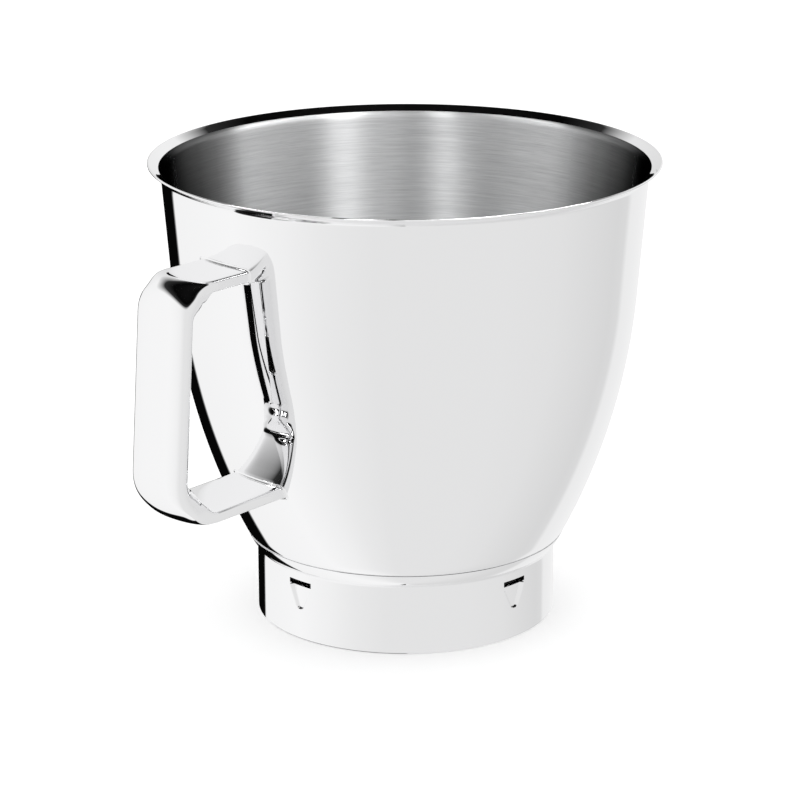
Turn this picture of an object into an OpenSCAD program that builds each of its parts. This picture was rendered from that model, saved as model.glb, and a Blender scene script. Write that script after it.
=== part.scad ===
// Stainless steel bowl of a stand mixer: a deep-drawn shell, a pressed base collar
// with four lanced bayonet lugs, and a hollow D-shaped handle welded to the wall.
// Millimetres, +Z up. The origin is on the bowl's axis, in the plane that the collar
// stands on. The handle points along -X.

/* [Bowl] */
// Diameter over the outer edge of the lip
rim_d = 230; // [220:1:245]
// Height from the standing plane to the top of the lip
height = 210.9; // [200:0.5:225]
// Thickness of the bowl's sheet
bowl_sheet = 1.0; // [0.7:0.1:1.5]
// Reach of the lip past the body's outer face, measured level
lip_reach = 5.9; // [5.5:0.1:9]
// Lean of the straight upper wall from the vertical, in degrees
wall_lean = 4.6; // [3:0.1:6]
// Height at which the straight wall turns into the belly
belly_top = 150; // [135:1:165]
// Radius of the belly's curve, outside
belly_r = 295; // [280:1:330]
// Radius of the curve between the belly and the floor, outside
knuckle_r = 34; // [30:0.5:36]
// Height of the underside of the floor
floor_z = 23.2; // [21:0.1:25]

/* [Lip] */
// Rise of the lip's flare above the horizontal, in degrees
lip_rise = 30; // [20:1:40]
// Radius under the lip, where the wall turns out into the flare
lip_bend = 3; // [2:0.1:4]

/* [Base collar] */
// How far the collar is set in from the widest part of the bowl's knuckle
collar_inset = 9.9; // [8:0.1:12]
// Thickness of the collar's sheet
collar_sheet = 1.2; // [0.8:0.1:1.6]
// Height of the top edge of the flange that is welded to the bowl
flange_top = 38.7; // [36:0.1:41]
// Radius of the hollow curve between the collar and its flange
collar_fillet = 1.6; // [1:0.1:3]
// Gap left between the flange and the bowl's knuckle
seat_gap = 0.05; // [0.02:0.01:0.2]

/* [Bayonet lugs] */
// Number of lugs round the collar
lug_count = 4; // [3:1:6]
// Turn of the first lug from the handle, in degrees
lug_turn = 2.6; // [-10:0.1:10]
// Length of the slot above each lug, along the wall
slot_w = 13.4; // [10:0.1:18]
// Height of the slot
slot_h = 2.6; // [1.5:0.1:4]
// Height of the slot's lower edge above the standing plane
slot_z = 25.2; // [22:0.1:26]
// How far each lug is pressed in at its top edge
lug_depth = 3; // [2:0.1:4]
// Height of the lug, from its tip up to the slot
lug_h = 11.5; // [8:0.5:16]
// Width of the lug at its tip
lug_tip_w = 2; // [1:0.5:6]

/* [Handle] */
// Height of the upper arm's upper face at the bowl
arm_top_z = 181; // [165:0.1:185]
// Height of the lower arm's lower face at the bowl
arm_foot_z = 74.1; // [62:0.1:80]
// Dip of the upper arm away from the bowl, in degrees
dip_top = 2; // [0:0.5:10]
// Dip of the lower arm away from the bowl, in degrees
dip_foot = 3.5; // [0:0.5:10]
// Reach of the grip's outer face past the body's, level with arm_top_z
grip_top_reach = 33.3; // [24:0.1:42]
// Reach of the grip's outer face past the body's, level with arm_foot_z
grip_foot_reach = 40.9; // [28:0.1:48]
// Width of the grip
grip_w = 33; // [26:0.5:36]
// Thickness of the grip, leaving out the crown of its inner side
grip_t = 8.4; // [6.5:0.1:10]
// How far the inner side of the grip and the corners is crowned
grip_crown = 2.7; // [0:0.1:4]
// Thickness of the arms
arm_t = 5.9; // [4.5:0.1:7.5]
// Width of the upper arm at the bowl
arm_top_w = 32; // [26:0.5:36]
// Width of the lower arm at the bowl
arm_foot_w = 33; // [28:0.5:38]
// Radius of the upper corner, along the middle of the handle
bend_top_r = 17.5; // [14:0.5:23]
// Radius of the lower corner, along the middle of the handle
bend_foot_r = 18; // [14:0.5:24]
// How far the outer side is crowned in the middle of each corner
corner_crown = 1.7; // [0:0.1:4]
// How much higher the crown of the inner side is in the middle of each corner
corner_fill = 3.6; // [0:0.1:5]
// Thickness of the handle's sheet
handle_sheet = 1.2; // [0.8:0.1:1.6]
// Radius of the dressed weld where the handle meets the bowl
weld_r = 1; // [1:0.1:4]
// Gap left between the handle's ends and the bowl
weld_gap = 0.05; // [0.02:0.01:0.2]

/* [Hidden] */
$fn = 128;
// Steps of the belly's curve and of the smaller curves, in degrees
belly_step = 1;
curve_step = 6;
edge_step = 30;
// Overshoot of a cut past the face that it goes through
cut_over = 1;
// Overlap of two cuts that open into each other
cut_join = 0.05;

// The lip: its flare's turn from the vertical, the centre of its bend and of its edge
flare_dir = 90 - lip_rise;
rim_r = rim_d / 2;
body_r = rim_r - lip_reach;
bend_x = body_r + lip_bend * cos(wall_lean);
edge_r = bowl_sheet / 2;
flare_run = (rim_r - edge_r - bend_x) + (lip_bend + edge_r) * cos(flare_dir);
bend_z = height - edge_r - flare_run * tan(lip_rise) - (lip_bend + edge_r) * sin(flare_dir);
body_top_z = bend_z + lip_bend * sin(wall_lean);

// Centres of the belly's curve and of the knuckle's, which meets it and the floor
belly_top_r = body_r - (body_top_z - belly_top) * tan(wall_lean);
belly_x = belly_top_r - belly_r * cos(wall_lean);
belly_z = belly_top + belly_r * sin(wall_lean);
knuckle_z = floor_z + knuckle_r;
knuckle_a = asin((belly_z - knuckle_z) / (belly_r - knuckle_r));
knuckle_x = belly_x + (belly_r - knuckle_r) * cos(knuckle_a);

// Radius of a surface that lies off outside the bowl's wall, at height z
function wall_r(z, off = 0) =
    z < knuckle_z - (knuckle_r + off) * sin(knuckle_a)
        ? knuckle_x + sqrt(max(0, pow(knuckle_r + off, 2) - pow(z - knuckle_z, 2)))
    : z < belly_z - (belly_r + off) * sin(wall_lean)
        ? belly_x + sqrt(pow(belly_r + off, 2) - pow(z - belly_z, 2))
    : belly_top_r + (z - belly_top) * tan(wall_lean) + off / cos(wall_lean);

// Points of an arc about c, from angle a to angle b
function arc(c, r, a, b, step = curve_step) =
    let (n = max(1, ceil(abs(b - a) / step)))
    [for (i = [0 : n]) c + r * [cos(a + (b - a) * i / n), sin(a + (b - a) * i / n)]];

// The bowl's wall as a line from the floor's edge to the flare, off inside its outer face
function bowl_line(off) = concat(
    [[0, floor_z + off]],
    arc([knuckle_x, knuckle_z], knuckle_r - off, -90, -knuckle_a),
    arc([belly_x, belly_z], belly_r - off, -knuckle_a + belly_step, -wall_lean, belly_step),
    arc([bend_x, bend_z], lip_bend + off, 180 - wall_lean, 180 - flare_dir));

// Middle of the lip's rounded edge
edge_c = [rim_r - edge_r, height - edge_r];

module bowl() {
    inner = bowl_line(bowl_sheet);
    color([0.83, 0.84, 0.85])
        rotate_extrude()
            polygon(concat(
                bowl_line(0),
                arc(edge_c, edge_r, lip_rise - 90, lip_rise + 90, edge_step),
                [for (i = [len(inner) - 1 : -1 : 0]) inner[i]]));
}

// The collar's hollow curve touches the cylinder and the flange
collar_r = knuckle_x + knuckle_r - collar_inset;
flange_r = knuckle_r + seat_gap + collar_sheet;
fillet_x = collar_r + collar_fillet;
fillet_z = knuckle_z - sqrt(pow(flange_r + collar_fillet, 2) - pow(fillet_x - knuckle_x, 2));
fillet_a = atan2(knuckle_z - fillet_z, knuckle_x - fillet_x);
flange_n = 6;

// The collar's section from its foot to the flange's top, off inside its outer face
function collar_line(off) = concat(
    [[collar_r - off, 0]],
    arc([fillet_x, fillet_z], collar_fillet + off, 180, fillet_a),
    [for (i = [1 : flange_n])
        let (start = fillet_z + (collar_fillet + off) * sin(fillet_a),
             z = start + (flange_top - start) * i / flange_n)
        [wall_r(z, seat_gap + collar_sheet - off), z]]);

// Wedge of the pressed lug, wide at the slot and narrow at its tip, grown by a sheet
module lug_wedge(grow, x_out) {
    x_in = collar_r - lug_depth - grow;
    x_tip = collar_r - collar_sheet / 2 - grow;
    wide = slot_w / 2 + grow;
    flat = slot_w / 2 - lug_depth + grow;
    tip = lug_tip_w / 2 + grow;
    foot = slot_z - lug_h - grow;
    polyhedron(
        points = [
            [x_out, -tip, foot], [x_out, tip, foot],
            [x_out, -wide, slot_z], [x_out, wide, slot_z],
            [x_in, -flat, slot_z], [x_in, flat, slot_z],
            [x_tip, -tip, foot], [x_tip, tip, foot]],
        faces = [
            [0, 2, 3, 1], [2, 4, 5, 3], [4, 6, 7, 5], [6, 0, 1, 7],
            [0, 6, 4], [0, 4, 2], [1, 3, 5], [1, 5, 7]]);
}

module at_lugs() {
    for (i = [0 : lug_count - 1])
        rotate(180 + lug_turn + i * 360 / lug_count) children();
}

module base_collar() {
    inner = collar_line(collar_sheet);
    color([0.84, 0.85, 0.86])
        difference() {
            union() {
                rotate_extrude()
                    polygon(concat(
                        collar_line(0),
                        [for (i = [len(inner) - 1 : -1 : 0]) inner[i]]));
                at_lugs() lug_wedge(collar_sheet, collar_r - collar_sheet / 2);
            }
            at_lugs() {
                lug_wedge(0, collar_r + cut_over);
                translate([collar_r - lug_depth, -slot_w / 2, slot_z - cut_join])
                    cube([lug_depth + cut_over, slot_w, slot_h + cut_join]);
            }
        }
}

// The handle's middle line lies in an upright plane: x from the bowl's axis, and z.
// Each stretch has the angle of its outward side: 90 is up, 0 is away from the bowl.
side_top = 90 - dip_top;
side_grip = atan((grip_foot_reach - grip_top_reach) / (arm_top_z - arm_foot_z));
side_foot = -90 - dip_foot;
mid_top_z = arm_top_z - arm_t / 2 / cos(dip_top);
mid_foot_z = arm_foot_z + arm_t / 2 / cos(dip_foot);
grip_x0 = body_r + grip_top_reach + arm_top_z * tan(side_grip) - grip_t / 2 / cos(side_grip);

// Where an arm's middle line, which leaves the bowl at height z, meets the grip's
function corner(z, dip) =
    let (base = z + wall_r(z) * tan(dip),
         x = (grip_x0 - base * tan(side_grip)) / (1 - tan(dip) * tan(side_grip)))
    [x, base - x * tan(dip)];
// Centre of the round corner: back along the arm, then in from its outward side
function bend_centre(z, dip, side, r) =
    corner(z, dip) - r * tan(abs(side - side_grip) / 2) * [cos(dip), -sin(dip)]
    - r * [cos(side), sin(side)];
bend_top_c = bend_centre(mid_top_z, dip_top, side_top, bend_top_r);
bend_foot_c = bend_centre(mid_foot_z, dip_foot, side_foot, bend_foot_r);

// Length over which an arm passes from the bowl's round wall to a flat section
seat_len = 9;
// Rings along the dressed weld, and along each corner
weld_rings = 4;
corner_rings = 11;
// Points round the handle's section
ring_n = 36;
// Power of the section's outline: the higher, the flatter its faces and the tighter its edges
grip_power = 3.2;
seat_power = 7;
crown_power = 2;
// Degrees by which the section's points are drawn from its edges to its faces
face_draw = 8;
// Share of each corner, from the arm, over which the inner side gets its crown
crown_share = 0.4;
// Share of the lower arm's taper that lies in the corner
taper_share = 0.4;

function blend(a, b, k) = a + (b - a) * k;
function ease(k) = k * k * (3 - 2 * k);
// How far the dressed weld spreads the section at distance d from the bowl
function weld_spread(d) =
    d >= weld_r ? 0 : weld_r - sqrt(pow(weld_r, 2) - pow(weld_r - d, 2));
// Shares of seat_len at which the arm's rings lie
seat_shares = concat(
    [for (i = [0 : weld_rings]) weld_r * (1 - cos(90 * i / weld_rings)) / seat_len],
    [(weld_r + seat_len) / 2 / seat_len, 1]);

// A ring: middle x and z, angle of its outward side, half width, thickness and power of
// its outer half, the same two of its inner half, and at the bowl the share k of its way
// from the wall to its flat end
function arm_ring(z, dip, side, w, k) =
    [wall_r(z) + seat_len, z - seat_len * k * tan(dip), side, w / 2,
     arm_t / 2, seat_power, arm_t / 2, seat_power, k];
function bend_ring(c, r, side, w, t, k) =
    let (bump = pow(sin(180 * k), 2),
         crown = ease(min(1, k / crown_share)))
    [c[0] + r * cos(side), c[1] + r * sin(side), side, w / 2,
     t / 2 + corner_crown * bump,
     blend(blend(seat_power, grip_power, ease(k)), crown_power, bump),
     t / 2 + grip_crown * crown + corner_fill * bump,
     blend(seat_power, crown_power, crown), 1];
rings = concat(
    [for (k = seat_shares) arm_ring(mid_top_z, dip_top, side_top, arm_top_w, k)],
    [for (i = [0 : corner_rings])
        let (k = i / corner_rings)
        bend_ring(bend_top_c, bend_top_r, blend(side_top, side_grip, k),
                  blend(arm_top_w, grip_w, ease(k)), blend(arm_t, grip_t, ease(k)), k)],
    [for (i = [0 : corner_rings])
        let (k = i / corner_rings)
        bend_ring(bend_foot_c, bend_foot_r, blend(side_grip, side_foot, k),
                  blend(grip_w, arm_foot_w, taper_share * ease(k)),
                  blend(grip_t, arm_t, ease(k)), 1 - k)],
    [for (i = [len(seat_shares) - 1 : -1 : 0])
        arm_ring(mid_foot_z, dip_foot, side_foot, arm_foot_w, seat_shares[i])]);

function round_power(v, power) = sign(v) * pow(abs(v), 2 / power);
// Point u degrees round a ring, grown by grow: its end lies on the bowl's wall
function ring_point(ring, u, grow) =
    let (half = u < 180 ? 4 : 6,
         s = (ring[3] + grow) * round_power(cos(u), ring[half + 1]),
         n = (ring[half] + grow) * round_power(sin(u), ring[half + 1]),
         x = ring[0] + n * cos(ring[2]),
         z = ring[1] + n * sin(ring[2]),
         wall = sqrt(pow(wall_r(z, weld_gap), 2) - pow(s, 2)))
    [ring[8] < 1 ? blend(wall, x, ring[8]) : x, s, z];
function ring_loop(ring, inset) =
    let (grow = inset > 0 ? -inset : weld_spread(ring[8] * seat_len))
    [for (j = [0 : ring_n - 1])
        let (u = 360 * j / ring_n)
        ring_point(ring, u - face_draw * sin(4 * u), grow)];

// Hollow tube, open at both ends, where the bowl's wall closes it
module handle() {
    m = ring_n;
    n = len(rings);
    outer = [for (ring = rings) each ring_loop(ring, 0)];
    inner = [for (ring = rings) each ring_loop(ring, handle_sheet)];
    last = (n - 1) * m;
    bore = n * m;
    function next(j) = (j + 1) % m;
    sides = [for (i = [0 : n - 2], j = [0 : m - 1])
        let (a = i * m + j, b = i * m + next(j))
        each [[a, a + m, b + m], [a, b + m, b]]];
    walls = [for (t = sides) [t[0] + bore, t[2] + bore, t[1] + bore]];
    ends = [for (j = [0 : m - 1])
        let (k = next(j))
        each [[j, k, k + bore], [j, k + bore, j + bore],
              [last + j, last + k + bore, last + k],
              [last + j, last + j + bore, last + k + bore]]];
    color([0.85, 0.86, 0.87])
        rotate(180)
            polyhedron(points = concat(outer, inner), faces = concat(sides, walls, ends));
}

bowl();
base_collar();
handle();
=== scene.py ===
import math

import bpy
import numpy as np
from mathutils import Matrix, Vector


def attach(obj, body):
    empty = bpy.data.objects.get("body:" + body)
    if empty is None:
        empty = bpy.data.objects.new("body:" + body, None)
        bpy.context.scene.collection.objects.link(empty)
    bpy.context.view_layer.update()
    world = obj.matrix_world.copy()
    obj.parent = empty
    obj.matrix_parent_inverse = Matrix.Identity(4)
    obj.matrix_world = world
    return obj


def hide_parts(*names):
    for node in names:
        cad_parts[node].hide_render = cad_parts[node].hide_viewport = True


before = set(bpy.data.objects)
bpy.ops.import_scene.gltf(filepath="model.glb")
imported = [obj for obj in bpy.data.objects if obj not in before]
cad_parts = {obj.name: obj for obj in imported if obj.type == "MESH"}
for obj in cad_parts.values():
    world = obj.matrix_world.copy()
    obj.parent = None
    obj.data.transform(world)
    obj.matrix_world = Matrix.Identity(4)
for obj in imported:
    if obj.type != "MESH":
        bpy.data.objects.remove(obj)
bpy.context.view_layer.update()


# ---- The bowl -----------------------------------------------------------------------
# One stainless steel sheet, 1 mm thick, deep drawn and then spun: a flat floor, a tight
# knuckle, a long belly, a straight wall and a flared lip with a rounded edge. Outside it
# is polished to a mirror. Inside it is brushed round and round up to the lip's bend.
SHEET = 0.001
FLOOR_Z = 0.0232
KNUCKLE_R = 0.034
BELLY_R = 0.295
BELLY_TOP_Z = 0.150
LEAN = math.radians(4.6)
LIP_RISE = math.radians(30)
LIP_BEND_R = 0.003
RIM_R = 0.115
HEIGHT = 0.2109
LIP_REACH = 0.0059
EDGE_R = SHEET / 2

body_r = RIM_R - LIP_REACH
bend_x = body_r + LIP_BEND_R * math.cos(LEAN)
flare_run = RIM_R - EDGE_R - bend_x + (LIP_BEND_R + EDGE_R) * math.sin(LIP_RISE)
bend_z = (HEIGHT - EDGE_R - flare_run * math.tan(LIP_RISE)
          - (LIP_BEND_R + EDGE_R) * math.cos(LIP_RISE))
body_top_z = bend_z + LIP_BEND_R * math.sin(LEAN)
belly_top_r = body_r - (body_top_z - BELLY_TOP_Z) * math.tan(LEAN)
belly_x = belly_top_r - BELLY_R * math.cos(LEAN)
belly_z = BELLY_TOP_Z + BELLY_R * math.sin(LEAN)
knuckle_z = FLOOR_Z + KNUCKLE_R
knuckle_a = math.asin((belly_z - knuckle_z) / (BELLY_R - KNUCKLE_R))
knuckle_x = belly_x + (BELLY_R - KNUCKLE_R) * math.cos(knuckle_a)


def wall_r(z, off=0.0):
    """Radius at height z of the surface that lies off outside the bowl's wall: the
    knuckle's arc, then the belly's arc, then the straight wall that leans out."""
    z = np.asarray(z, float)
    knuckle = knuckle_x + np.sqrt(np.maximum((KNUCKLE_R + off) ** 2 - (z - knuckle_z) ** 2, 0))
    belly = belly_x + np.sqrt((BELLY_R + off) ** 2 - (z - belly_z) ** 2)
    wall = belly_top_r + (z - BELLY_TOP_Z) * math.tan(LEAN) + off / math.cos(LEAN)
    return np.where(z < knuckle_z - (KNUCKLE_R + off) * math.sin(knuckle_a), knuckle,
                    np.where(z < belly_z - (BELLY_R + off) * math.sin(LEAN), belly, wall))


def arc(cx, cz, r, a, b, n):
    """The n + 1 points (cx + r cos t, cz + r sin t) as t goes evenly from a to b."""
    t = np.linspace(a, b, n + 1)
    return np.stack([cx + r * np.cos(t), cz + r * np.sin(t)], 1)


def straight(p, q, n):
    """The n - 1 points that share the straight line from p to q evenly, ends left out."""
    k = np.linspace(0, 1, n + 1)[1:-1, None]
    return np.asarray(p) + k * (np.asarray(q) - np.asarray(p))


def bowl_line(off):
    """The wall's section at off inside its outer face, from the floor's middle to the
    flare: floor, knuckle arc, belly arc, straight wall and lip bend, in that order."""
    knuckle = arc(knuckle_x, knuckle_z, KNUCKLE_R - off, -math.pi / 2, -knuckle_a, 40)
    belly = arc(belly_x, belly_z, BELLY_R - off, -knuckle_a, -LEAN, 60)[1:]
    bend = arc(bend_x, bend_z, LIP_BEND_R + off, math.pi - LEAN, math.pi / 2 + LIP_RISE, 14)
    return np.concatenate([
        [[0, FLOOR_Z + off]], straight([0, FLOOR_Z + off], knuckle[0], 8),
        knuckle, belly, straight(belly[-1], bend[0], 30), bend])


def put_mesh(name, points, faces, uv, materials, face_material=None):
    """A smooth mesh object from arrays: points by three, faces as quads whose last
    corner repeats where a face is a triangle, and uv by face and corner."""
    mesh = bpy.data.meshes.new(name)
    corners = np.where(faces[:, 2] == faces[:, 3], 3, 4)
    keep = np.arange(4)[None, :] < corners[:, None]
    mesh.vertices.add(len(points))
    mesh.vertices.foreach_set("co", np.asarray(points, np.float32).ravel())
    mesh.loops.add(int(corners.sum()))
    mesh.loops.foreach_set("vertex_index", faces[keep].astype(np.int32))
    mesh.polygons.add(len(faces))
    mesh.polygons.foreach_set("loop_start", (np.cumsum(corners) - corners).astype(np.int32))
    mesh.polygons.foreach_set("use_smooth", np.ones(len(faces), bool))
    for material in materials:
        mesh.materials.append(material)
    if face_material is not None:
        mesh.polygons.foreach_set("material_index", np.asarray(face_material, np.int32))
    mesh.uv_layers.new(name="UVMap").data.foreach_set("uv", uv[keep].astype(np.float32).ravel())
    mesh.update(calc_edges=True)
    mesh.validate()
    piece = bpy.data.objects.new(name, mesh)
    bpy.context.scene.collection.objects.link(piece)
    return piece


def turned(line, around):
    """The surface that a closed section sweeps about the Z axis. The point at angle t is
    (r cos t, r sin t, z). A section point on the axis is one pole. Returns points, faces,
    uv (turns round, metres along the section) and the section's step of each face."""
    r, z = line[:, 0], line[:, 1]
    t = np.arange(around) * 2 * math.pi / around
    ring = np.stack([r[:, None] * np.cos(t), r[:, None] * np.sin(t),
                     np.repeat(z[:, None], around, 1)], 2)
    index = np.arange(len(line) * around).reshape(len(line), around)
    index[r == 0] = index[r == 0][:, :1]
    far = np.roll(index, -1, 1)
    length = np.concatenate([[0], np.cumsum(np.linalg.norm(np.diff(line, axis=0), axis=1))])
    a, b, c, d = index[:-1], far[:-1], far[1:], index[1:]
    faces = np.stack([a, b, c, d], 2).reshape(-1, 4)
    turns = np.broadcast_to(np.arange(around) / around, a.shape)
    low = np.broadcast_to(length[:-1, None], a.shape)
    high = np.broadcast_to(length[1:, None], a.shape)
    uv = np.stack([np.stack([turns, low], 2), np.stack([turns + 1 / around, low], 2),
                   np.stack([turns + 1 / around, high], 2), np.stack([turns, high], 2)], 2)
    uv = uv.reshape(-1, 4, 2)
    step = np.repeat(np.arange(len(line) - 1), around)
    pole_low = faces[:, 0] == faces[:, 1]
    faces[pole_low] = faces[pole_low][:, [0, 2, 3, 3]]
    uv[pole_low] = uv[pole_low][:, [0, 2, 3, 3]]
    pole_high = faces[:, 2] == faces[:, 3]
    uv[pole_high & ~pole_low] = uv[pole_high & ~pole_low][:, [0, 1, 2, 2]]
    return ring.reshape(-1, 3), faces, uv, step


def tidy_points(points, faces):
    """Drops the points that no face uses and renumbers the faces."""
    used = np.unique(faces)
    renumber = np.zeros(len(points), int)
    renumber[used] = np.arange(len(used))
    return points[used], renumber[faces]


def steel(name, color, roughness):
    """A metal material, with its Principled shader set to the given colour and gloss."""
    material = bpy.data.materials.new(name)
    material.use_nodes = True
    shader = material.node_tree.nodes["Principled BSDF"]
    shader.inputs["Base Color"].default_value = (*color, 1)
    shader.inputs["Metallic"].default_value = 1
    shader.inputs["Roughness"].default_value = roughness
    return material, material.node_tree, shader


# Painted shade: how the brushed steel's colour and specular tint are darkened towards a grazing
# view, by 1 - cos of the angle of view, which darkens the ends of the bowl's inside
PAINTED_GRAZING_SHADE = [(0.0, 1.0), (1.0, 0.02), (0.27, 1.0), (0.38, 0.55), (0.48, 0.33), (0.62, 0.18),
           (0.8, 0.06)]


def group_of(name, outputs):
    """An empty node group with the given outputs, and its output node."""
    group = bpy.data.node_groups.new(name, "ShaderNodeTree")
    for label, kind in outputs:
        group.interface.new_socket(label, in_out="OUTPUT", socket_type=kind)
    return group, group.nodes.new("NodeGroupOutput")


def noise_of(group, source, scale, detail, roughness):
    """Noise over the source's vector, stretched by scale."""
    place = group.nodes.new("ShaderNodeMapping")
    place.inputs["Scale"].default_value = scale
    noise = group.nodes.new("ShaderNodeTexNoise")
    noise.inputs["Scale"].default_value = 1
    noise.inputs["Detail"].default_value = detail
    noise.inputs["Roughness"].default_value = roughness
    group.links.new(source, place.inputs["Vector"])
    group.links.new(place.outputs["Vector"], noise.inputs["Vector"])
    return noise.outputs["Fac"]


def spread(group, value, low, high, to_low, to_high):
    """The value mapped from low..high to to_low..to_high."""
    node = group.nodes.new("ShaderNodeMapRange")
    for socket, number in zip(("From Min", "From Max", "To Min", "To Max"),
                              (low, high, to_low, to_high)):
        node.inputs[socket].default_value = number
    group.links.new(value, node.inputs["Value"])
    return node.outputs["Result"]


def bump_of(group, height, strength, distance):
    """The normal that a height gives."""
    node = group.nodes.new("ShaderNodeBump")
    node.inputs["Strength"].default_value = strength
    node.inputs["Distance"].default_value = distance
    group.links.new(height, node.inputs["Height"])
    return node.outputs["Normal"]


# Brush marks that run round the bowl: turns round and metres along the section
streaks, end = group_of("streaks", [("Color", "NodeSocketColor"), ("Roughness", "NodeSocketFloat"),
                                    ("Normal", "NodeSocketVector")])
run = streaks.nodes.new("ShaderNodeUVMap")
run.uv_map = "UVMap"
fine = noise_of(streaks, run.outputs["UV"], (55, 5200, 1), 3, 0.6)
coarse = noise_of(streaks, run.outputs["UV"], (14, 900, 1), 2, 0.5)
both = streaks.nodes.new("ShaderNodeMath")
both.operation = "MULTIPLY_ADD"
both.inputs[1].default_value = 0.6
streaks.links.new(coarse, both.inputs[0])
streaks.links.new(fine, both.inputs[2])
tone = streaks.nodes.new("ShaderNodeMix")
tone.data_type = "RGBA"
tone.inputs["A"].default_value = (0.66, 0.665, 0.67, 1)
tone.inputs["B"].default_value = (0.95, 0.955, 0.96, 1)
streaks.links.new(spread(streaks, both.outputs[0], 0.5, 1.1, 0, 1), tone.inputs["Factor"])
streaks.links.new(tone.outputs["Result"], end.inputs["Color"])
streaks.links.new(spread(streaks, both.outputs[0], 0.5, 1.1, 0.46, 0.38), end.inputs["Roughness"])
streaks.links.new(bump_of(streaks, both.outputs[0], 0.25, 0.00002), end.inputs["Normal"])

# Mirror polish: faint buffing marks and smears, the same on the bowl, collar and handle
polish, end = group_of("polish", [("Roughness", "NodeSocketFloat"), ("Normal", "NodeSocketVector")])
where = polish.nodes.new("ShaderNodeTexCoord")
smears = noise_of(polish, where.outputs["Object"], (28, 28, 46), 4, 0.6)
marks = noise_of(polish, where.outputs["Object"], (900, 900, 5200), 2, 0.5)
total = polish.nodes.new("ShaderNodeMath")
total.operation = "ADD"
polish.links.new(spread(polish, smears, 0.45, 0.8, 0.012, 0.05), total.inputs[0])
polish.links.new(spread(polish, marks, 0.6, 0.8, 0, 0.02), total.inputs[1])
polish.links.new(total.outputs[0], end.inputs["Roughness"])
polish.links.new(bump_of(polish, smears, 0.02, 0.0004), end.inputs["Normal"])


def polished(tree, shader):
    """Gives a shader the mirror polish."""
    node = tree.nodes.new("ShaderNodeGroup")
    node.node_tree = polish
    tree.links.new(node.outputs["Roughness"], shader.inputs["Roughness"])
    tree.links.new(node.outputs["Normal"], shader.inputs["Normal"])


mirror_steel, mirror_tree, mirror_shader = steel("mirror_steel", (0.93, 0.93, 0.935), 0.02)
polished(mirror_tree, mirror_shader)
brushed_steel, brushed_tree, brushed_shader = steel("brushed_steel", (0.86, 0.865, 0.87), 0.36)
brushed_shader.inputs["Anisotropic"].default_value = 1
brushed_shader.inputs["Anisotropic Rotation"].default_value = 0.25
tangent = brushed_tree.nodes.new("ShaderNodeTangent")
tangent.direction_type, tangent.axis = "RADIAL", "Z"
brushed_tree.links.new(tangent.outputs["Tangent"], brushed_shader.inputs["Tangent"])
brush = brushed_tree.nodes.new("ShaderNodeGroup")
brush.node_tree = streaks
# Painted shade: the grazing ramp darkens the base colour and the specular tint where the inside is
# seen at a grazing angle
facing = brushed_tree.nodes.new("ShaderNodeLayerWeight")
facing.inputs["Blend"].default_value = 0.5
ends = brushed_tree.nodes.new("ShaderNodeValToRGB")
for i, (at, level) in enumerate(PAINTED_GRAZING_SHADE):
    stop = ends.color_ramp.elements[i] if i < 2 else ends.color_ramp.elements.new(at)
    stop.position, stop.color = at, (level, level, level, 1)
shade = brushed_tree.nodes.new("ShaderNodeMix")
shade.data_type, shade.blend_type = "RGBA", "MULTIPLY"
shade.inputs["Factor"].default_value = 1
brushed_tree.links.new(facing.outputs["Facing"], ends.inputs["Fac"])
brushed_tree.links.new(brush.outputs["Color"], shade.inputs["A"])
brushed_tree.links.new(ends.outputs["Color"], shade.inputs["B"])
brushed_tree.links.new(shade.outputs["Result"], brushed_shader.inputs["Base Color"])
brushed_tree.links.new(ends.outputs["Color"], brushed_shader.inputs["Specular Tint"])
brushed_tree.links.new(brush.outputs["Roughness"], brushed_shader.inputs["Roughness"])
brushed_tree.links.new(brush.outputs["Normal"], brushed_shader.inputs["Normal"])

outer_line = bowl_line(0)
inner_line = bowl_line(SHEET)[::-1]
edge = arc(RIM_R - EDGE_R, HEIGHT - EDGE_R, EDGE_R, LIP_RISE - math.pi / 2,
           LIP_RISE + math.pi / 2, 10)
bowl_section = np.concatenate([outer_line, straight(outer_line[-1], edge[0], 3), edge,
                               straight(edge[-1], inner_line[0], 3), inner_line])
bowl_points, bowl_faces, bowl_uv, bowl_step = turned(bowl_section, 288)
brushed_from = len(bowl_section) - len(inner_line)
bowl_points, bowl_faces = tidy_points(bowl_points, bowl_faces)
bowl_piece = put_mesh("bowl_shell", bowl_points, bowl_faces, bowl_uv,
                      [mirror_steel, brushed_steel], bowl_step >= brushed_from)
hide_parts("bowl")
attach(bowl_piece, "root")


# ---- The base collar ----------------------------------------------------------------
# A ring of 1.2 mm sheet, flanged at its top to lie on the bowl's knuckle, spot welded there
# and dressed flush. Four lugs are lanced through it: below a slot the sheet is pressed in,
# and the catches of the mixer's base turn under the slots' edges.
COLLAR_SHEET, COLLAR_INSET, COLLAR_FILLET = 0.0012, 0.0099, 0.0016
SEAT_GAP, FLANGE_TOP, FLANGE_EDGE = 0.00005, 0.0382, 0.0003
FOOT_CUT = 0.0003
SLOT_Z, SLOT_W, SLOT_H = 0.0245, 0.0134, 0.0033
LUG_COUNT, LUG_TURN = 4, math.radians(2.6)
LUG_H, LUG_DEPTH, LUG_TIP_W, LUG_SIDE = 0.0108, 0.0018, 0.003, 0.001
LUG_STEEP, LUG_JUMP = 0.14, 0.6

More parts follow.
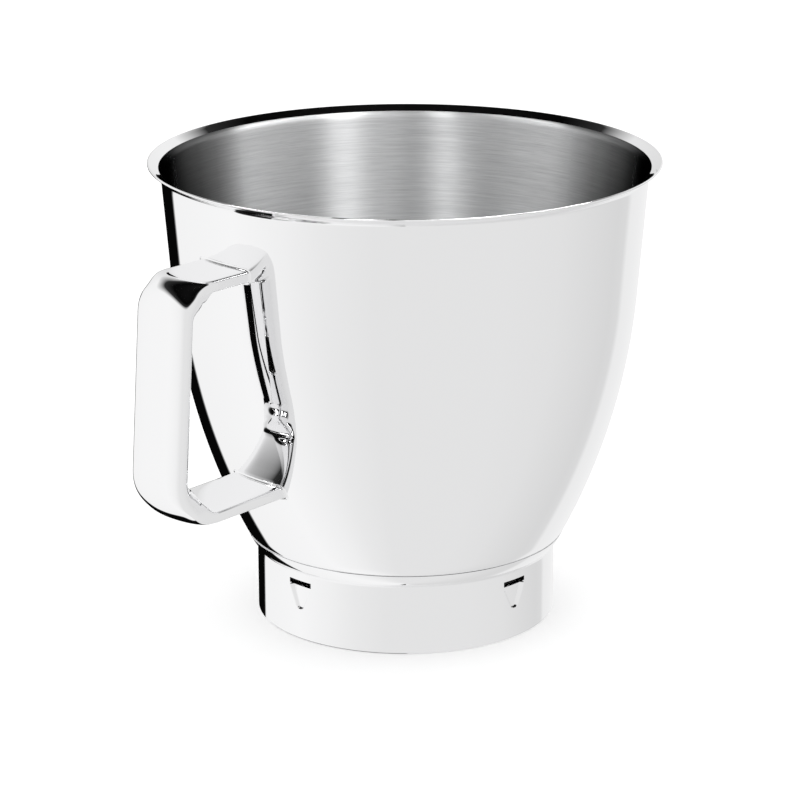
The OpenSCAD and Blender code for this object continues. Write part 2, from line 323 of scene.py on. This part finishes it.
collar_r = knuckle_x + KNUCKLE_R - COLLAR_INSET
flange_r = KNUCKLE_R + SEAT_GAP + COLLAR_SHEET
fillet_x = collar_r + COLLAR_FILLET
fillet_z = knuckle_z - math.sqrt((flange_r + COLLAR_FILLET) ** 2 - (fillet_x - knuckle_x) ** 2)
fillet_a = math.atan2(knuckle_z - fillet_z, knuckle_x - fillet_x)
lug_tip_z = SLOT_Z - LUG_H
collar_z = np.concatenate([
    [FOOT_CUT], np.linspace(0.002, lug_tip_z, 7), np.linspace(lug_tip_z, lug_tip_z + 0.002, 13)[1:],
    np.linspace(lug_tip_z + 0.002, SLOT_Z, 14)[1:], [SLOT_Z + SLOT_H]])
slot_row = len(collar_z) - 1


def ease(k):
    """Goes from 0 to 1 with level ends: k squared times (3 - 2k)."""
    return k * k * (3 - 2 * k)


def collar_line(off, cut):
    """The collar's section at off inside its outer face: foot, wall, fillet and a flange
    on the knuckle that thins evenly towards its top edge."""
    fillet = arc(fillet_x, fillet_z, COLLAR_FILLET + off, math.pi, fillet_a, 10)
    z = np.linspace(fillet[-1, 1], FLANGE_TOP, 17)[1:]
    thin = (z - fillet[-1, 1]) / (FLANGE_TOP - fillet[-1, 1])
    thick = (COLLAR_SHEET + (FLANGE_EDGE - COLLAR_SHEET) * thin) * (1 - off / COLLAR_SHEET)
    wall = np.stack([np.full(len(collar_z), collar_r - off), collar_z], 1)
    flange = np.stack([wall_r(z, SEAT_GAP + thick), z], 1)
    return np.concatenate([[[collar_r - off - cut, 0]], wall, fillet, flange])


def pressed(z, side):
    """How deep a lug is pressed in at height z and side metres from its middle: its share
    of the height q, steepest at the tip, by a side that fades out where the lug's own
    half width, which grows evenly with q, ends."""
    q = np.clip((z - lug_tip_z) / LUG_H, 0, 1)
    rise = LUG_JUMP * ease(np.minimum(1, q / LUG_STEEP)) + (1 - LUG_JUMP) * q
    half = (LUG_TIP_W + (SLOT_W - LUG_TIP_W) * q) / 2
    return LUG_DEPTH * rise * ease(np.clip((half - np.abs(side)) / LUG_SIDE, 0, 1)) * (z <= SLOT_Z)


slot_a = SLOT_W / 2 / collar_r
quarter = np.concatenate([
    np.linspace(-math.pi / LUG_COUNT, -1.4 * slot_a, 36)[:-1],
    np.linspace(-1.4 * slot_a, -slot_a, 5)[:-1], np.linspace(-slot_a, slot_a, 35),
    np.linspace(slot_a, 1.4 * slot_a, 5)[1:-1],
    np.linspace(1.4 * slot_a, math.pi / LUG_COUNT, 36)[:-1]])
HALF_TURN_STEP = slot_a / 34
around = len(quarter) * LUG_COUNT
from_lug = np.tile(quarter, LUG_COUNT)
collar_t = (math.pi + LUG_TURN + from_lug
            + np.repeat(np.arange(LUG_COUNT) * 2 * math.pi / LUG_COUNT, len(quarter)))


def collar_skin(off, cut):
    """A collar section carried round Z, with the lugs' depth taken off its radius."""
    r, z = collar_line(off, cut).T[:, :, None]
    r = r - pressed(z, collar_r * from_lug)
    return np.stack([r * np.cos(collar_t), r * np.sin(collar_t), z + 0 * r], 2)


outside, inside = collar_skin(0, FOOT_CUT), collar_skin(COLLAR_SHEET, -FOOT_CUT)
rows = len(outside)
near = np.arange(rows * around).reshape(rows, around)
far = np.roll(near, -1, 1)
solid = np.ones((rows - 1, around), bool)
hole = (from_lug > -slot_a - HALF_TURN_STEP) & (from_lug < slot_a - HALF_TURN_STEP)
solid[slot_row] = ~hole
skin = np.stack([near[:-1], far[:-1], far[1:], near[1:]], 2)[solid]
inner_near, inner_far = near + near.size, far + near.size


def band(row, upward):
    """Faces that join the two skins along a row."""
    faces = np.stack([near[row], far[row], inner_far[row], inner_near[row]], 1)
    return faces if upward else faces[:, ::-1]


def slot_end(columns, turned_back):
    """The slots' end walls at the given columns."""
    low, high = slot_row, slot_row + 1
    faces = np.stack([near[low, columns], inner_near[low, columns], inner_near[high, columns],
                      near[high, columns]], 1)
    return faces[:, ::-1] if turned_back else faces


starts = np.flatnonzero(hole & ~np.roll(hole, 1))
ends = np.flatnonzero(~hole & np.roll(hole, 1))
collar_faces = np.concatenate([
    skin, skin[:, ::-1] + near.size, band(0, False), band(rows - 1, True),
    band(slot_row, True)[hole], band(slot_row + 1, False)[hole],
    slot_end(starts, False), slot_end(ends, True)])
collar_points = np.concatenate([outside.reshape(-1, 3), inside.reshape(-1, 3)])
collar_steel, collar_tree, collar_shader = steel("collar_steel", (0.93, 0.93, 0.935), 0.02)
polished(collar_tree, collar_shader)
collar_piece = put_mesh("collar_ring", collar_points, collar_faces,
                        np.zeros((len(collar_faces), 4, 2)), [collar_steel])
collar_piece.data.set_sharp_from_angle(angle=math.radians(40))
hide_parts("base_collar")
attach(collar_piece, "root")


# ---- The handle ---------------------------------------------------------------------
# Two pressed half shells of 1.2 mm steel, seam welded and polished into one hollow D:
# flat arms, a crowned inner side and full, crowned corners. It is welded to the wall.
ARM_TOP_Z, ARM_FOOT_Z = 0.181, 0.0741
DIP_TOP, DIP_FOOT = math.radians(2), math.radians(3.5)
GRIP_TOP_X, GRIP_FOOT_X = body_r + 0.0333, body_r + 0.0409
GRIP_W, GRIP_T, ARM_T = 0.033, 0.0084, 0.0059
ARM_TOP_W, ARM_FOOT_W = 0.032, 0.033
BEND_TOP_R, BEND_FOOT_R = 0.0148, 0.018
GRIP_CROWN, FILL_TOP, FILL_FOOT = 0.0027, 0.0047, 0.0036
CROWN_TOP, CROWN_FOOT = 0.0021, 0.0017
WELD_R, WELD_GAP, SEAT_LEN, HANDLE_SHEET = 0.001, 0.00005, 0.009, 0.0012
GRIP_POWER, SEAT_POWER, CROWN_POWER = 3.2, 5.5, 2.0
CROWN_SHARE, TAPER_SHARE, FACE_DRAW = 0.4, 0.4, math.radians(8)

side_top = math.pi / 2 - DIP_TOP
side_grip = math.atan((GRIP_FOOT_X - GRIP_TOP_X) / (ARM_TOP_Z - ARM_FOOT_Z))
side_foot = -math.pi / 2 - DIP_FOOT
mid_top_z = ARM_TOP_Z - ARM_T / 2 / math.cos(DIP_TOP)
mid_foot_z = ARM_FOOT_Z + ARM_T / 2 / math.cos(DIP_FOOT)
grip_x0 = GRIP_TOP_X + ARM_TOP_Z * math.tan(side_grip) - GRIP_T / 2 / math.cos(side_grip)


def bend_centre(z, dip, side, r):
    """Centre of a round corner: from where the arm's middle line meets the grip's, back
    along the arm by r tan(half the turn), then in by r from its outward side."""
    base = z + float(wall_r(z)) * math.tan(dip)
    x = (grip_x0 - base * math.tan(side_grip)) / (1 - math.tan(dip) * math.tan(side_grip))
    back = r * math.tan(abs(side - side_grip) / 2)
    return (x - back * math.cos(dip) - r * math.cos(side),
            base - x * math.tan(dip) + back * math.sin(dip) - r * math.sin(side))


def arm_rings(z, dip, side, width, share):
    """Rings of an arm at the given shares of its seat: middle x and z, outward angle, half
    width, thickness and power of the outer half and of the inner half, and the share."""
    one = np.ones_like(share)
    return np.stack([(float(wall_r(z)) + SEAT_LEN) * one, z - SEAT_LEN * share * math.tan(dip),
                     side * one, width / 2 * one, ARM_T / 2 * one, SEAT_POWER * one,
                     ARM_T / 2 * one, SEAT_POWER * one, share], 1)


def bend_rings(centre, r, side, width, thick, k, swell, fill):
    """Rings round a corner: the middle lies at centre plus r at angle side. Both sides are
    crowned by the squared sine of the turn k, the outer one by up to swell and the inner
    one by up to fill, and the inner side keeps a crown from then on."""
    bump = np.sin(math.pi * k) ** 2
    crown = ease(np.minimum(1, k / CROWN_SHARE))
    power = SEAT_POWER + (GRIP_POWER - SEAT_POWER) * ease(k)
    return np.stack([centre[0] + r * np.cos(side), centre[1] + r * np.sin(side), side,
                     width / 2, thick / 2 + swell * bump,
                     power + (CROWN_POWER - power) * bump,
                     thick / 2 + GRIP_CROWN * crown + fill * bump,
                     SEAT_POWER + (CROWN_POWER - SEAT_POWER) * crown, np.ones_like(k)], 1)


weld_share = WELD_R * (1 - np.cos(np.linspace(0, math.pi / 2, 13))) / SEAT_LEN
seat_share = np.concatenate([weld_share, np.linspace(weld_share[-1], 1, 6)[1:]])
turn = np.linspace(0, 1, 49)
top_rings = bend_rings(
    bend_centre(mid_top_z, DIP_TOP, side_top, BEND_TOP_R), BEND_TOP_R,
    side_top + (side_grip - side_top) * turn, ARM_TOP_W + (GRIP_W - ARM_TOP_W) * ease(turn),
    ARM_T + (GRIP_T - ARM_T) * ease(turn), turn, CROWN_TOP,
    FILL_TOP)
foot_rings = bend_rings(
    bend_centre(mid_foot_z, DIP_FOOT, side_foot, BEND_FOOT_R), BEND_FOOT_R,
    side_grip + (side_foot - side_grip) * turn,
    GRIP_W + (ARM_FOOT_W - GRIP_W) * TAPER_SHARE * ease(turn),
    GRIP_T + (ARM_T - GRIP_T) * ease(turn), 1 - turn, CROWN_FOOT,
    FILL_FOOT)


def between(a, b, n):
    """The n - 1 rings that share the stretch from ring a to ring b evenly."""
    k = np.linspace(0, 1, n + 1)[1:-1, None]
    return a + k * (b - a)


seat_top = arm_rings(mid_top_z, DIP_TOP, side_top, ARM_TOP_W, seat_share)
seat_foot = arm_rings(mid_foot_z, DIP_FOOT, side_foot, ARM_FOOT_W, seat_share)[::-1]
rings = np.concatenate([
    seat_top, between(seat_top[-1], top_rings[0], 8), top_rings,
    between(top_rings[-1], foot_rings[0], 24), foot_rings,
    between(foot_rings[-1], seat_foot[0], 8), seat_foot])


def round_power(v, power):
    """The size of v to the power 2 / power, with the sign of v."""
    return np.sign(v) * np.abs(v) ** (2 / power)


def handle_skin(inset, around):
    """The handle's skin by ring and angle u. A ring's point is half width times the
    powered cosine sideways and half thickness times the powered sine outwards. Near the
    bowl it slides along the arm until the first ring lies on the wall."""
    u = np.arange(around)[None, :] * 2 * math.pi / around
    outer = u < math.pi
    u = u - FACE_DRAW * np.sin(4 * u)
    x, z, side, half_w, half_out, power_out, half_in, power_in, share = rings.T[:, :, None]
    gap = np.clip(share * SEAT_LEN, 0, WELD_R)
    spread = WELD_R - np.sqrt(np.maximum(WELD_R ** 2 - (WELD_R - gap) ** 2, 0))
    grow = -inset if inset else spread
    power = np.where(outer, power_out, power_in)
    s = (half_w + grow) * round_power(np.cos(u), power)
    n = (np.where(outer, half_out, half_in) + grow) * round_power(np.sin(u), power)
    px, pz = x + n * np.cos(side), z + n * np.sin(side)
    wall = np.sqrt(wall_r(pz, WELD_GAP) ** 2 - s ** 2)
    px = np.where(share < 1, wall + (px - wall) * share, px)
    return np.stack([-px, -s, pz], 2)


def tube(outer, inner):
    """Faces of a tube with open ends between two skins of the same grid: the outer skin,
    the inner skin turned about, and a band that joins them at each end."""
    n, m = outer.shape[:2]
    index = np.arange(n * m).reshape(n, m)
    far = np.roll(index, -1, 1)
    skin = np.stack([index[:-1], index[1:], far[1:], far[:-1]], 2).reshape(-1, 4)
    first = np.stack([index[0], far[0], far[0] + n * m, index[0] + n * m], 1)
    last = np.stack([index[-1], index[-1] + n * m, far[-1] + n * m, far[-1]], 1)
    return np.concatenate([skin, skin[:, ::-1] + n * m, first, last])


outer_skin, inner_skin = handle_skin(0, 128), handle_skin(HANDLE_SHEET, 128)
handle_points = np.concatenate([outer_skin.reshape(-1, 3), inner_skin.reshape(-1, 3)])
handle_faces = tube(outer_skin, inner_skin)
handle_uv = np.zeros((len(handle_faces), 4, 2))
handle_steel, handle_tree, handle_shader = steel("handle_steel", (0.93, 0.93, 0.935), 0.02)
polished(handle_tree, handle_shader)
handle_piece = put_mesh("handle_loop", handle_points, handle_faces, handle_uv, [handle_steel])
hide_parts("handle")
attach(handle_piece, "root")


# ---- The floor, the light and the camera --------------------------------------------
CAMERA_TURN = math.radians(226.8)
CAMERA_AWAY, CAMERA_HIGH = 1.4375, 0.5415
CAMERA_PITCH, CAMERA_YAW, CAMERA_ROLL = (math.radians(a) for a in (17.166, -0.098, -0.141))
FOCAL_SHARE = 3292.2 / 800

floor_mesh = bpy.data.meshes.new("floor")
floor_mesh.from_pydata([(-8, -8, -0.0003), (8, -8, -0.0003), (8, 8, -0.0003), (-8, 8, -0.0003)],
                       [], [(0, 1, 2, 3)])
floor = bpy.data.objects.new("floor", floor_mesh)
bpy.context.scene.collection.objects.link(floor)
floor_material = bpy.data.materials.new("floor_paint")
floor_material.use_nodes = True
floor_mesh.materials.append(floor_material)
tree = floor_material.node_tree
tree.nodes.clear()
paint = tree.nodes.new("ShaderNodeBsdfDiffuse")
paint.inputs["Color"].default_value = (0.9, 0.9, 0.9, 1)
glow = tree.nodes.new("ShaderNodeEmission")
glow.inputs["Strength"].default_value = 0.3
clear = tree.nodes.new("ShaderNodeBsdfTransparent")
# Painted shadow: within 67.2 mm of the middle, under the collar, the floor's glow is off, and metal
# that looks down sees it black instead of the world
spot = tree.nodes.new("ShaderNodeTexCoord")
middle = tree.nodes.new("ShaderNodeVectorMath")
middle.operation = "LENGTH"
under = tree.nodes.new("ShaderNodeMath")
under.operation = "GREATER_THAN"
under.inputs[1].default_value = 0.0672
tree.links.new(spot.outputs["Object"], middle.inputs[0])
tree.links.new(middle.outputs["Value"], under.inputs[0])
tree.links.new(under.outputs[0], clear.inputs["Color"])
tree.links.new(under.outputs[0], glow.inputs["Color"])
path = tree.nodes.new("ShaderNodeLightPath")
lit = tree.nodes.new("ShaderNodeAddShader")
mix = tree.nodes.new("ShaderNodeMixShader")
out = tree.nodes.new("ShaderNodeOutputMaterial")
tree.links.new(paint.outputs[0], lit.inputs[0])
tree.links.new(glow.outputs[0], lit.inputs[1])
tree.links.new(path.outputs["Is Glossy Ray"], mix.inputs["Fac"])
tree.links.new(lit.outputs[0], mix.inputs[1])
tree.links.new(clear.outputs[0], mix.inputs[2])
tree.links.new(mix.outputs[0], out.inputs["Surface"])

# The light comes from pale walls all round, up to a height of about 38 degrees, under a
# dark ceiling. By angle from the camera, positive to the right: how bright the walls are.
# Low behind on the left stands a black flag.
WALLS = [(-180, 0.72), (-141, 0.95), (-90, 0.99), (-60, 0.93), (-40, 0.87), (-15, 0.826),
         (50, 0.82), (80, 0.80), (100, 0.76), (122, 0.72), (131, 0.74), (136, 0.88),
         (165, 0.92), (180, 0.85)]
FLAG = [(-180, 1), (-144, 1), (-142, 0), (179, 0), (180, 1)]
CEILING = [(0, 0), (28, 0), (33, 0.4), (39, 0.97), (50, 0.998), (90, 0.99)]
world = bpy.data.worlds.new("studio")
bpy.context.scene.world = world
world.use_nodes = True
tree = world.node_tree
tree.nodes.clear()


def ramp_of(tree, value, low, high, stops):
    """A colour ramp over value, with a grey level at each stop from low to high."""
    share = tree.nodes.new("ShaderNodeMapRange")
    share.inputs["From Min"].default_value = low
    share.inputs["From Max"].default_value = high
    ramp = tree.nodes.new("ShaderNodeValToRGB")
    ramp.color_ramp.elements.remove(ramp.color_ramp.elements[0])
    for i, (at, level) in enumerate(stops):
        place = (at - math.degrees(low)) / math.degrees(high - low)
        stop = ramp.color_ramp.elements[0] if i == 0 else ramp.color_ramp.elements.new(place)
        stop.position = place
        stop.color = (level, level, level, 1)
    tree.links.new(value, share.inputs["Value"])
    tree.links.new(share.outputs[0], ramp.inputs["Fac"])
    return ramp.outputs["Color"]


def mixed(tree, share, a, b):
    """The mix of two colours, each a socket or a grey level, by a share from 0 to 1."""
    mix = tree.nodes.new("ShaderNodeMix")
    mix.data_type = "RGBA"
    tree.links.new(share, mix.inputs["Factor"])
    for socket, color in ((mix.inputs["A"], a), (mix.inputs["B"], b)):
        if isinstance(color, float):
            socket.default_value = (color, color, color, 1)
        else:
            tree.links.new(color, socket)
    return mix.outputs["Result"]


where = tree.nodes.new("ShaderNodeTexCoord")
part = tree.nodes.new("ShaderNodeSeparateXYZ")
spin = tree.nodes.new("ShaderNodeVectorRotate")
spin.rotation_type = "Z_AXIS"
spin.inputs["Angle"].default_value = -CAMERA_TURN
angle = tree.nodes.new("ShaderNodeMath")
angle.operation = "ARCTAN2"
rise = tree.nodes.new("ShaderNodeMath")
rise.operation = "ARCSINE"
low = tree.nodes.new("ShaderNodeMapRange")
low.inputs["From Min"].default_value = 0.03
low.inputs["From Max"].default_value = -0.03
flag = tree.nodes.new("ShaderNodeMath")
flag.operation = "MULTIPLY"
tree.links.new(where.outputs["Generated"], spin.inputs["Vector"])
tree.links.new(spin.outputs["Vector"], part.inputs["Vector"])
tree.links.new(part.outputs["Y"], angle.inputs[0])
tree.links.new(part.outputs["X"], angle.inputs[1])
tree.links.new(part.outputs["Z"], rise.inputs[0])
tree.links.new(part.outputs["Z"], low.inputs[0])
walls = ramp_of(tree, angle.outputs[0], -math.pi, math.pi, WALLS)
ceiling = ramp_of(tree, rise.outputs[0], 0, math.pi / 2, CEILING)
flag_at = ramp_of(tree, angle.outputs[0], -math.pi, math.pi, FLAG)
tree.links.new(low.outputs[0], flag.inputs[0])
tree.links.new(flag_at, flag.inputs[1])
room = mixed(tree, ceiling, mixed(tree, flag.outputs[0], walls, 0.002), 0.0)
path = tree.nodes.new("ShaderNodeLightPath")
back = tree.nodes.new("ShaderNodeBackground")
out = tree.nodes.new("ShaderNodeOutputWorld")
tree.links.new(mixed(tree, path.outputs["Is Glossy Ray"], 1.0, room), back.inputs["Color"])
tree.links.new(back.outputs[0], out.inputs["Surface"])

# Four tall soft boxes hang high all round and light the bowl alone, whose brushed inside shows each
# as a pale upright band: angle from the camera, degrees wide, and brightness
SOFT_BOXES = [(-102, 18, 7), (-26, 15, 6.3), (8, 22, 1.8), (41, 25, 7.3), (112, 11, 20)]
BOX_AWAY, BOX_RISE, BOX_TALL = 3.0, math.radians(58), 1.7
lit_pieces = bpy.data.collections.new("lit_by_soft_boxes")
lit_pieces.objects.link(bowl_piece)
for i, (at, wide, bright) in enumerate(SOFT_BOXES):
    box = bpy.data.lights.new(f"soft_box_{i}", "AREA")
    box.shape = "RECTANGLE"
    box.size = BOX_AWAY * math.cos(BOX_RISE) * math.radians(wide)
    box.size_y = BOX_TALL
    box.energy = bright * math.pi * box.size * box.size_y
    lamp = bpy.data.objects.new(f"soft_box_{i}", box)
    bpy.context.scene.collection.objects.link(lamp)
    spot = CAMERA_TURN + math.radians(at)
    towards = Vector((math.cos(spot) * math.cos(BOX_RISE), math.sin(spot) * math.cos(BOX_RISE),
                      math.sin(BOX_RISE)))
    lamp.rotation_euler = towards.to_track_quat("Z", "Y").to_euler()
    lamp.location = towards * BOX_AWAY + Vector((0, 0, HEIGHT))
    lamp.light_linking.receiver_collection = lit_pieces

lens = bpy.data.cameras.new("camera")
lens.sensor_width = 36
lens.lens = FOCAL_SHARE * lens.sensor_width
lens.clip_end = 50
camera = bpy.data.objects.new("camera", lens)
bpy.context.scene.collection.objects.link(camera)
bpy.context.scene.camera = camera
away = Vector((math.cos(CAMERA_TURN), math.sin(CAMERA_TURN), 0))
right = Vector((-math.sin(CAMERA_TURN), math.cos(CAMERA_TURN), 0))
level = -away * math.cos(CAMERA_YAW) + right * math.sin(CAMERA_YAW)
across = right * math.cos(CAMERA_YAW) + away * math.sin(CAMERA_YAW)
forward = level * math.cos(CAMERA_PITCH) - Vector((0, 0, math.sin(CAMERA_PITCH)))
up = across.cross(forward)
turned_right = across * math.cos(CAMERA_ROLL) + up * math.sin(CAMERA_ROLL)
turned_up = up * math.cos(CAMERA_ROLL) - across * math.sin(CAMERA_ROLL)
place = away * CAMERA_AWAY + Vector((0, 0, CAMERA_HIGH))
camera.matrix_world = Matrix.Translation(place) @ Matrix(
    (turned_right, turned_up, -forward)).transposed().to_4x4()

bpy.context.scene.view_settings.view_transform = "Standard"
